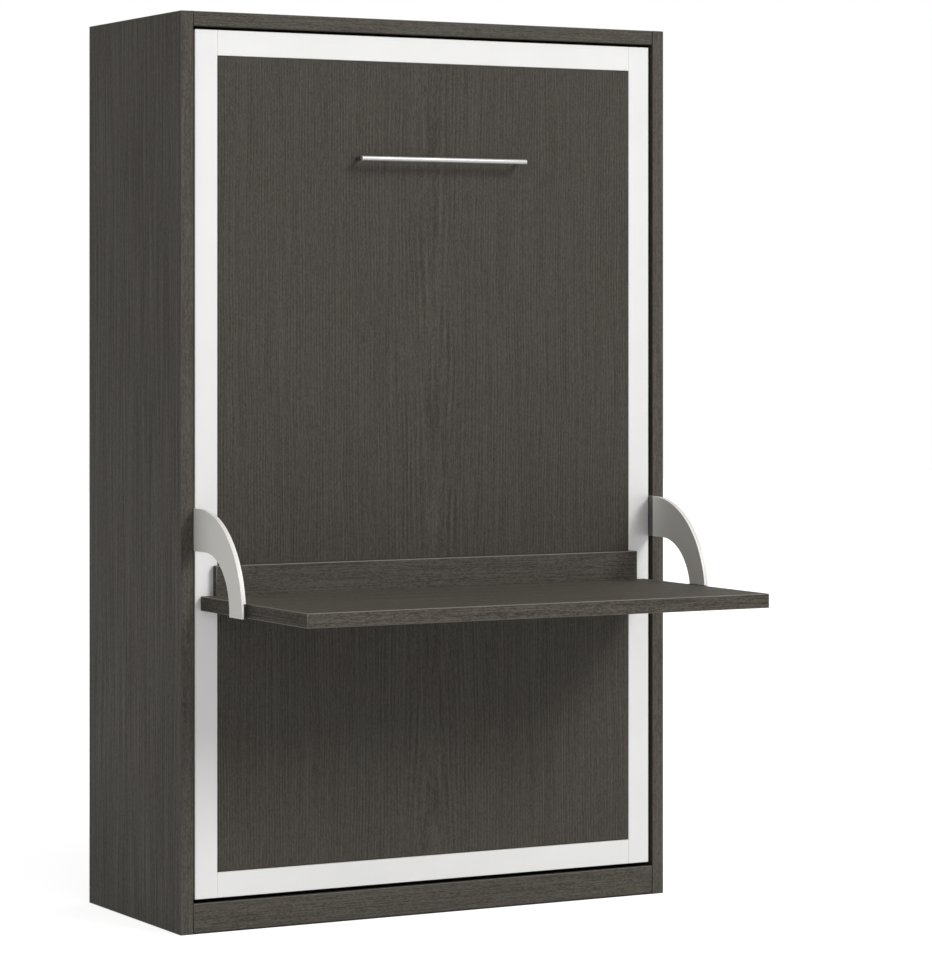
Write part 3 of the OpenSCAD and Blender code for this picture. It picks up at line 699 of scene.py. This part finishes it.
# Dark woods whose rounded edges take an edge material with a painted highlight; those in EDGE_WOODS also
# get painted shade towards their seams
DARK_WOODS = (upright_wood, upright_wood_right, face_wood, level_wood, desk_wood, block_wood)
EDGE_WOODS = {"top_panel": seam_wood, "plinth": seam_wood, "face_panel": rim_wood,
              "side_panel_left": left_edge_wood, "side_panel_right": right_edge_wood}

# Boards whose long edges are rounded, by edge radius
ROUNDED_BOARDS = {
    0.0018: ["desk_top", "top_panel", "plinth"],
    0.0010: ["desk_upstand", "desk_end_blocks", "side_panel_left", "side_panel_right"],
    0.0008: ["face_panel"],
}
# A board's edges count as long from this length on
LONG_EDGE = 0.018

# Pieces whose edges are all rounded, by edge radius
ROUNDED = {
    0.0008: ["arm_cheek_left", "arm_cheek_right"],
    0.0006: ["arm_plate_left", "arm_plate_right", "leg_left", "leg_right", "bed_rail_left",
             "bed_rail_right", "head_board", "foot_board"],
    0.0005: ["corner_brackets", "pivot_plate_left", "pivot_plate_right", "hinge_plate_left",
             "hinge_plate_right", "levelling_link_left", "levelling_link_right", "slat_holders",
             "bed_axle_left", "bed_axle_right", "strut_rod_left", "strut_rod_right"],
    0.0010: ["cross_bearers", "slat_battens", "rear_top_rail", "rear_base_rail"],
    0.0015: ["closing_stops", "leg_foot_left", "leg_foot_right"],
}

# Edges that turn by less than this stay as they are, in degrees
SHARP_TURN = 25
# A face is slanted, and so part of an edge, where its normal's largest part is under this
SLANTED_BELOW = 0.99


def soften(name, radius, shortest=0.0):
    """A copy of a CAD node with its sharp outer edges rounded, in the node's place."""
    node = nodes[name]
    bm = bmesh.new()
    bm.from_mesh(node.data)
    bmesh.ops.remove_doubles(bm, verts=bm.verts, dist=1e-6)
    bmesh.ops.dissolve_limit(bm, angle_limit=math.radians(0.5), verts=bm.verts, edges=bm.edges)
    sharp = [e for e in bm.edges
             if len(e.link_faces) == 2 and e.is_convex and e.calc_face_angle() > math.radians(SHARP_TURN)
             and e.calc_length() >= shortest]
    bmesh.ops.bevel(bm, geom=sharp, offset=radius, offset_type="OFFSET", segments=2,
                    profile=0.5, affect="EDGES", clamp_overlap=True)
    bm.normal_update()
    # The slanted faces of a dark board's rounded edges take the edge material: a painted highlight, and
    # painted shade towards its seams
    takes_painted_edges = material_of[name] in DARK_WOODS
    for face in bm.faces:
        slanted = max(abs(part) for part in face.normal) < SLANTED_BELOW
        face.material_index = int(takes_painted_edges and slanted)
    piece = finish_mesh(name + "_rounded", bm, material_of[name], node["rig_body"])
    if takes_painted_edges:
        piece.data.materials.append(EDGE_WOODS.get(name, edge_wood))
    even = piece.modifiers.new("even_flats", "WEIGHTED_NORMAL")
    even.keep_sharp = True
    even.weight = 100
    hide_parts(name)


def soften_all():
    for radius, names in ROUNDED_BOARDS.items():
        for name in names:
            soften(name, radius, shortest=LONG_EDGE)
    for radius, names in ROUNDED.items():
        for name in names:
            soften(name, radius)


# ---------- handle ----------

# Half the bar's length, its shift to the right, and its place in the YZ plane
HANDLE_HALF = 0.226
HANDLE_SHIFT = 0.024
HANDLE_PLACE = (-0.028, 1.823)
HANDLE_R = 0.006
HANDLE_ROUNDING = 0.0012
POST_R = 0.0045
POST_INSET = 0.007
# A post's narrow foot: where the step to it starts and ends, from the foot, and its depth
FOOT_STEP = (0.0012, 0.0008, 0.0006)


def lathe(bm, profile, axis, centre, sides):
    """Adds a turned shape: profile is a list of (place along the axis, radius), from end to end."""
    first, second = [(Y, Z), (X, Z), (X, Y)][axis]
    rings = []
    for along, radius in profile:
        ring = []
        for k in range(sides if radius else 1):
            turn = 2 * math.pi * k / sides
            point = [0.0, 0.0, 0.0]
            point[axis] = along
            point[first] = centre[0] + radius * math.cos(turn)
            point[second] = centre[1] + radius * math.sin(turn)
            ring.append(bm.verts.new(point))
        rings.append(ring)
    for low, high in zip(rings, rings[1:]):
        for k in range(sides):
            corners = [low[k % len(low)], low[(k + 1) % len(low)],
                       high[(k + 1) % len(high)], high[k % len(high)]]
            corners = list(dict.fromkeys(corners))
            if len(corners) > 2:
                bm.faces.new(corners)
    bmesh.ops.recalc_face_normals(bm, faces=bm.faces)


def rounded_end(place, radius, rounding, direction, steps=4):
    """Profile points of a bar's end with a quarter-round edge, from its face outwards."""
    points = [(place, 0.0)]
    for k in range(steps + 1):
        turn = math.radians(90 * k / steps)
        points.append((place - direction * rounding * (1 - math.cos(turn)),
                       radius - rounding * (1 - math.sin(turn))))
    return points


def make_handle():
    low, high = HANDLE_SHIFT - HANDLE_HALF, HANDLE_SHIFT + HANDLE_HALF
    start = rounded_end(low, HANDLE_R, HANDLE_ROUNDING, -1)
    end = rounded_end(high, HANDLE_R, HANDLE_ROUNDING, 1)
    bm = bmesh.new()
    lathe(bm, start + end[::-1], X, HANDLE_PLACE, 64)
    bar = finish_mesh("handle_bar_turned", bm, satin_steel, "bed")
    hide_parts("handle_bar")

    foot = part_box("handle_posts")[1][Y]
    tip = HANDLE_PLACE[0] + HANDLE_R * 0.6
    step_start, step_end, step_depth = FOOT_STEP
    narrow = POST_R - step_depth
    profile = [(tip, 0.0), (tip, POST_R), (foot - step_start, POST_R), (foot - step_end, narrow),
               (foot, narrow), (foot, 0.0)]
    bm = bmesh.new()
    for x in (low + POST_INSET, high - POST_INSET):
        lathe(bm, profile, Y, (x, HANDLE_PLACE[1]), 40)
    posts = finish_mesh("handle_posts_turned", bm, post_steel_painted_shade, "bed")
    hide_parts("handle_posts")


# ---------- slats ----------

SLAT_BOW = 0.005
SLAT_ROUNDING = 0.0022
SLAT_SPANS = 28


def rounded_section(low, high, radius, steps=3):
    """Points round a rectangle with rounded corners."""
    corners = ((high[0], high[1]), (low[0], high[1]), (low[0], low[1]), (high[0], low[1]))
    points = []
    for quarter, corner in enumerate(corners):
        middle = [min(max(c, a + radius), b - radius) for c, a, b in zip(corner, low, high)]
        for k in range(steps + 1):
            turn = math.radians(90 * (quarter + k / steps))
            points.append((middle[0] + radius * math.cos(turn), middle[1] + radius * math.sin(turn)))
    return points


def make_slats():
    """Sprung slats, bowed a little towards the mattress, with rounded edges."""
    bm = bmesh.new()
    low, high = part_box("slats")
    edges = sorted({round(v.co.z, 5) for v in nodes["slats"].data.vertices})
    for bottom, top in zip(edges[::2], edges[1::2]):
        section = rounded_section((low[Y], bottom), (high[Y], top), SLAT_ROUNDING)
        rings = []
        for n in range(SLAT_SPANS + 1):
            share = 2 * n / SLAT_SPANS - 1
            bow = SLAT_BOW * (1 - share * share)
            rings.append([bm.verts.new((high[X] * share, y + bow, z)) for y, z in section])
        join_rings(bm, rings)
        bm.faces.new(rings[0][::-1])
        bm.faces.new(rings[-1])
    bmesh.ops.recalc_face_normals(bm, faces=bm.faces)
    slats = finish_mesh("sprung_slats", bm, slat_wood, "bed")
    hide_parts("slats")


# ---------- mattress ----------

QUILTS_X, QUILTS_Z = 7, 13
# Places of the grid lines inside one quilted cell, close together beside the stitched channels
CELL = (0.0, 0.035, 0.11, 0.24, 0.41, 0.59, 0.76, 0.89, 0.965)
# Places of the border's rows between the two faces, and those of its two seams
BORDER_ROWS = (0.03, 0.10, 0.2, 0.30, 0.333, 0.366, 0.46, 0.54, 0.634, 0.667, 0.70, 0.8, 0.90, 0.97)
BORDER_SEAMS = (0.333, 0.667)
# How far the border is drawn in at its middle, and at its seams
BORDER_WAIST = 0.003
SEAM_PULL = 0.0012
# Height of the rounded shoulder round each face, and how far in it reaches
SHOULDER = 0.020
CROWN_REACH = 0.11
# How far the stitched channels and the cells between them start below the crown
STITCH_DEPTH = 0.009
QUILT_DEPTH = 0.0035
CORNER_R = 0.045
# Gaps to the CAD solid: of the ticking at the start, and of the filled mattress
START_GAP = 0.0008
SKIN_GAP = 0.0003
SWELL_FRAMES = 20
SWELL_CAP = 0.010
PIPING_R = 0.0032
PIPING_STEP = 0.012
PIPING_SIDES = 10


def grid_lines(low, high, cells):
    """Places of the grid lines over a number of quilted cells, and which of them are stitched."""
    step = (high - low) / cells
    places = [low + step * (c + t) for c in range(cells) for t in CELL] + [high]
    stitched = [k % len(CELL) == 0 for k in range(len(places))]
    return places, stitched


def round_corner(x, z, middle, half, radius):
    """Moves a point of a rectangle to the same rectangle with round corners."""
    dx, dz = x - middle[0], z - middle[1]
    cx, cz = abs(dx) - (half[0] - radius), abs(dz) - (half[1] - radius)
    if cx <= 0 or cz <= 0:
        return x, z
    u, v = cx / radius, cz / radius
    nx, nz = u * math.sqrt(1 - v * v / 2), v * math.sqrt(1 - u * u / 2)
    return (middle[0] + math.copysign(half[0] - radius + nx * radius, dx),
            middle[1] + math.copysign(half[1] - radius + nz * radius, dz))


def crown_drop(edge):
    """How far the mattress's face lies below its crown, at a distance from its edge."""
    crown = min(1.0, max(0.0, edge) / CROWN_REACH)
    return SHOULDER * (1 - math.sqrt(1 - (1 - crown) ** 2))


def quilted_face(bm, low, high, side, held):
    """One quilted face as rows of points. Its side is -1 at the front and 1 at the back. The
    points that the stitching holds are added to held."""
    middle = ((low[X] + high[X]) / 2, (low[Z] + high[Z]) / 2)
    half = ((high[X] - low[X]) / 2, (high[Z] - low[Z]) / 2)
    xs, stitched_x = grid_lines(low[X], high[X], QUILTS_X)
    zs, stitched_z = grid_lines(low[Z], high[Z], QUILTS_Z)
    rows = []
    for j, z in enumerate(zs):
        row = []
        for i, x in enumerate(xs):
            at_rim = i in (0, len(xs) - 1) or j in (0, len(zs) - 1)
            stitched = stitched_x[i] or stitched_z[j]
            drop = crown_drop(min(x - low[X], high[X] - x, z - low[Z], high[Z] - z))
            if not at_rim:
                drop += STITCH_DEPTH if stitched else QUILT_DEPTH
            place_x, place_z = round_corner(x, z, middle, half, CORNER_R)
            y = high[Y] - drop if side > 0 else low[Y] + drop
            vert = bm.verts.new((place_x, y, place_z))
            if stitched or at_rim:
                held.add(vert)
            row.append(vert)
        rows.append(row)
    for below, above in zip(rows, rows[1:]):
        for i in range(len(xs) - 1):
            corners = [below[i], below[i + 1], above[i + 1], above[i]]
            bm.faces.new(corners if side < 0 else corners[::-1])
    return rows


def quilted_border(bm, front, back, held):
    """The border in three bands between the two faces. Returns the rims of both faces."""
    last_x, last_z = len(front[0]) - 1, len(front) - 1
    rim = ([(i, 0) for i in range(last_x)] + [(last_x, j) for j in range(last_z)]
           + [(last_x - i, last_z) for i in range(last_x)] + [(0, last_z - j) for j in range(last_z)])
    middle = (front[0][0].co + front[last_z][last_x].co) / 2
    bands = [[front[j][i] for i, j in rim]]
    for share in BORDER_ROWS:
        row = []
        for i, j in rim:
            point = front[j][i].co.lerp(back[j][i].co, share)
            if i in (0, last_x):
                inward = Vector((middle.x - point.x, 0, 0)).normalized()
            else:
                inward = Vector((0, 0, middle.z - point.z)).normalized()
            pull = SEAM_PULL if share in BORDER_SEAMS else 0.0
            vert = bm.verts.new(point + inward * (BORDER_WAIST * math.sin(math.pi * share) + pull))
            if share in BORDER_SEAMS:
                held.add(vert)
            row.append(vert)
        bands.append(row)
    bands.append([back[j][i] for i, j in rim])
    join_rings(bm, bands)
    return bands[0], bands[-1]


def mattress_mesh(low, high):
    """The unswollen mattress: two quilted faces and a border in three bands. Returns the
    bmesh, the indices of the points that the stitching holds and the paths of both rims."""
    gap = Vector((START_GAP, 0, START_GAP))
    low, high = Vector(low) + gap, Vector(high) - gap
    bm = bmesh.new()
    held = set()
    front, back = [quilted_face(bm, low, high, side, held) for side in (-1, 1)]
    rims = quilted_border(bm, front, back, held)
    bmesh.ops.recalc_face_normals(bm, faces=bm.faces)
    bm.verts.index_update()
    return bm, [v.index for v in held], [[v.co.copy() for v in rim] for rim in rims]


def swell(piece, held):
    """Lets a cloth simulation fill the quilted cells, then keeps its result within a cap."""
    group = piece.vertex_groups.new(name="stitching")
    group.add(held, 1.0, "REPLACE")
    start = [v.co.copy() for v in piece.data.vertices]
    cloth = piece.modifiers.new("filling", "CLOTH")
    settings = cloth.settings
    settings.vertex_group_mass = group.name
    settings.use_pressure = True
    settings.uniform_pressure_force = 5.0
    settings.effector_weights.gravity = 0.0
    settings.tension_stiffness = settings.compression_stiffness = 8.0
    settings.bending_stiffness = 0.4
    settings.quality = 4
    cloth.point_cache.frame_start, cloth.point_cache.frame_end = 1, SWELL_FRAMES
    for n in range(1, SWELL_FRAMES + 1):
        scene.frame_set(n)
    graph = bpy.context.evaluated_depsgraph_get()
    moved = [v.co.copy() for v in piece.evaluated_get(graph).data.vertices]
    piece.modifiers.remove(cloth)
    scene.frame_set(1)
    for vert, a, b in zip(piece.data.vertices, start, moved):
        shift = b - a
        if shift.length > SWELL_CAP:
            shift *= SWELL_CAP / shift.length
        vert.co = a + shift
    piece.data.update()


def make_mattress():
    low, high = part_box("mattress")
    bm, held, rims = mattress_mesh(low, high)
    mattress = finish_mesh("quilted_mattress", bm, mattress_ticking, "bed", smooth_below=180)
    swell(mattress, held)
    for vert in mattress.data.vertices:
        for axis in (X, Y, Z):
            vert.co[axis] = min(max(vert.co[axis], low[axis] + SKIN_GAP), high[axis] - SKIN_GAP)
    press_under_straps(mattress, *strap_reach())
    finer = mattress.modifiers.new("finer", "SUBSURF")
    finer.levels = finer.render_levels = 1
    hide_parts("mattress")
    for name, rim in zip(("mattress_piping_front", "mattress_piping_back"), rims):
        make_piping(name, rim)


def make_piping(name, rim):
    """A round cord in its tape, sewn round the edge of one face."""
    middle_z = sum(p.z for p in rim) / len(rim)
    path = []
    for p in rim:
        if not path or (p - path[-1]).length >= PIPING_STEP:
            path.append(p)
    bm = bmesh.new()
    rings = []
    for k, p in enumerate(path):
        ahead = (path[(k + 1) % len(path)] - path[k - 1]).normalized()
        out = ahead.cross(Vector((0, 1, 0))).normalized()
        if out.dot(Vector((p.x, 0, p.z - middle_z))) < 0:
            out = -out
        centre = p - out * (PIPING_R * 0.75)
        ring = []
        for n in range(PIPING_SIDES):
            turn = 2 * math.pi * n / PIPING_SIDES
            across = out * (PIPING_R * math.cos(turn)) + Vector((0, PIPING_R * math.sin(turn), 0))
            ring.append(bm.verts.new(centre + across))
        rings.append(ring)
    join_rings(bm, rings, closed=True)
    bmesh.ops.recalc_face_normals(bm, faces=bm.faces)
    piping = finish_mesh(name, bm, piping_cloth, "bed", smooth_below=180)


# ---------- straps ----------

STRAP_T = 0.0016
STRAP_BACK = 0.2620
STRAP_BEND = 0.016
# The first straight part of a strap, which starts on the bed rail and ends past its edge
STRAP_RISE = 0.04
STRAP_ZONES = ((0.700, 0.740), (1.500, 1.540))
# Thickness over the width: the selvages are a little thicker than the web between them
STRAP_SECTION = [(0.0, 0.35), (0.02, 0.92), (0.07, 1.0), (0.10, 0.80), (0.5, 0.80),
                 (0.90, 0.80), (0.93, 1.0), (0.98, 0.92), (1.0, 0.35)]
# The padding under a strap: how far beside the strap it is pressed, the gap that is kept, how
# steeply it rises beside the strap, and the place along Y behind which it is pressed
PRESS_REACH = 0.03
PRESS_GAP = 0.0024
PRESS_SLOPE = 0.12
PRESS_FROM = 0.22


def strap_reach():
    """Half the width that a strap spans, and where it starts on the bed rail."""
    low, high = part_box("mattress_straps")
    return high[X] - STRAP_T / 2, low[Y]


def strap_path(half, start_y):
    """Centre line of half a strap in the XY plane, from its end on the rail to mid-width."""
    points = [(half, start_y), (half, start_y + STRAP_RISE)]
    inner = half - STRAP_BEND
    shoulder = STRAP_BACK - crown_drop(STRAP_BEND) - STRAP_BEND
    for k in range(8):
        turn = math.radians(80 * k / 7)
        points.append((inner + STRAP_BEND * math.cos(turn), shoulder + STRAP_BEND * math.sin(turn)))
    for k in range(1, 13):
        edge = STRAP_BEND + (CROWN_REACH - STRAP_BEND) * k / 12
        points.append((half - edge, STRAP_BACK - crown_drop(edge)))
    reach = half - CROWN_REACH
    for k in range(1, 9):
        points.append((reach * (1 - k / 8), STRAP_BACK))
    return points


def press_under_straps(mattress, half, start_y):
    """Keeps the padding below the straps that hold it."""
    line = strap_path(half, start_y)[::-1]
    for vert in mattress.data.vertices:
        beside = min(max(low - vert.co.z, vert.co.z - high, 0.0) for low, high in STRAP_ZONES)
        if beside > PRESS_REACH or vert.co.y < PRESS_FROM:
            continue
        across = abs(vert.co.x)
        limit = line[-1][1]
        for (x0, y0), (x1, y1) in zip(line, line[1:]):
            if x0 <= across <= x1:
                limit = y0 + (y1 - y0) * (across - x0) / (x1 - x0)
                break
        vert.co.y = min(vert.co.y, limit - PRESS_GAP + PRESS_SLOPE * beside)


def strap_ring(bm, place, out, bottom, top):
    """Points round a strap's section at a place of its centre line."""
    ring = []
    for side in (1, -1):
        for share, thick in STRAP_SECTION[::side]:
            point = place + out * (side * thick * STRAP_T / 2)
            ring.append(bm.verts.new((point.x, point.y, bottom + (top - bottom) * share)))
    return ring


def make_straps():
    line = [Vector(point) for point in strap_path(*strap_reach())]
    line += [Vector((-point.x, point.y)) for point in line[-2::-1]]
    bm = bmesh.new()
    for bottom, top in STRAP_ZONES:
        rings = []
        for k, place in enumerate(line):
            along = (line[min(len(line) - 1, k + 1)] - line[max(0, k - 1)]).normalized()
            rings.append(strap_ring(bm, place, Vector((-along.y, along.x)), bottom, top))
        join_rings(bm, rings)
        bm.faces.new(rings[0])
        bm.faces.new(rings[-1][::-1])
    bmesh.ops.recalc_face_normals(bm, faces=bm.faces)
    straps = finish_mesh("mattress_straps_woven", bm, strap_webbing, "bed", smooth_below=50)
    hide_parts("mattress_straps")


# ---------- main ----------

make_camera()
make_world()
make_floor()
make_lights()
dress_nodes()
soften_all()
make_handle()
make_slats()
make_mattress()
make_straps()

scene.view_settings.view_transform = "Standard"
